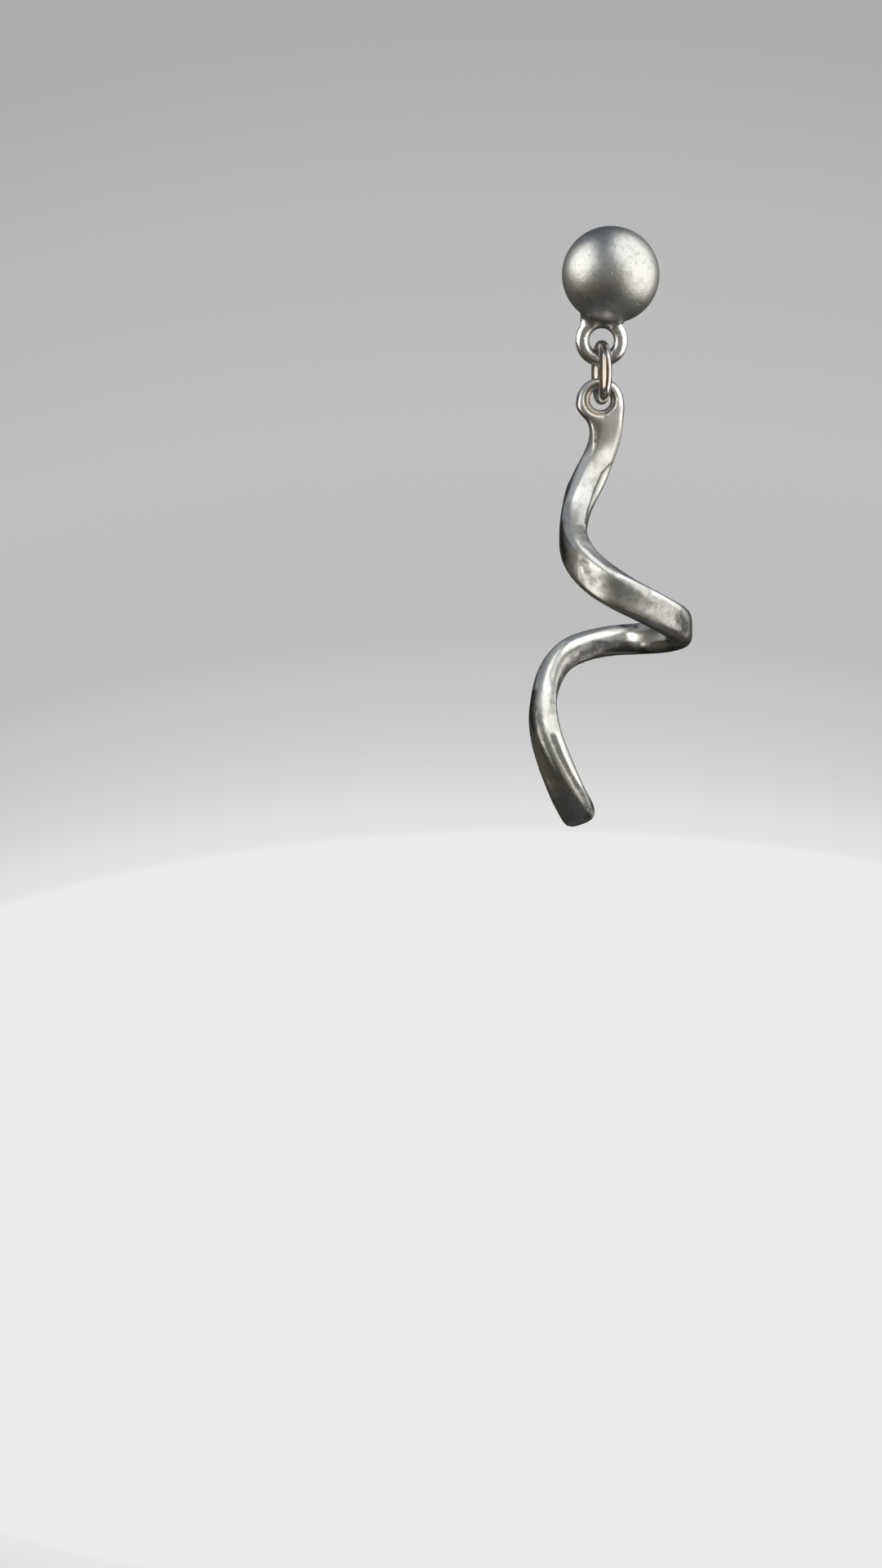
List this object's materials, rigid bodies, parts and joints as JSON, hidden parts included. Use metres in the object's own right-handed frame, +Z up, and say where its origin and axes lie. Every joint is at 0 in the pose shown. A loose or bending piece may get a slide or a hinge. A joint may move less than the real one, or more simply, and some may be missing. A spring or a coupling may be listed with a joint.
{
  "type": "spiral drop earring",
  "caption": "Ball stud earring in satin antique metal: a ring soldered under the ball holds a jump ring, on which a flat bar bent to an open spiral hangs free.",
  "frame": {"origin": "middle of the stud's flat back, where it lies against the ear lobe and the post leaves it", "axes": "+Z up along the hanging earring, +Y along the post into the ear, and the earring's front faces -Y"},
  "size_m": [0.0134, 0.0175, 0.0492],
  "materials": {
    "stud_metal": "satin antique pewter, lightly worn",
    "post_metal": "plain drawn steel wire",
    "ring_metal": "polished plated wire",
    "drop_metal": "satin antique pewter, darkened in patches"
  },
  "bodies": {
    "stud": {"stud": "stud_metal", "ear_post": "post_metal"},
    "link": {"jump_ring": "ring_metal"},
    "drop": {"spiral_drop": "drop_metal"}
  },
  "joints": [
    {"name": "link_swing", "type": "hinge", "parent": "stud", "child": "link", "pos_m": [-0.00073, -0.001, -0.00692], "axis": [1, 0, 0], "range_deg": [-75, 75]},
    {"name": "drop_swing", "type": "hinge", "parent": "link", "child": "drop", "pos_m": [-0.00073, -0.001, -0.01011], "axis": [-0.1478, 0.989, 0], "range_deg": [-75, 75]}
  ]
}
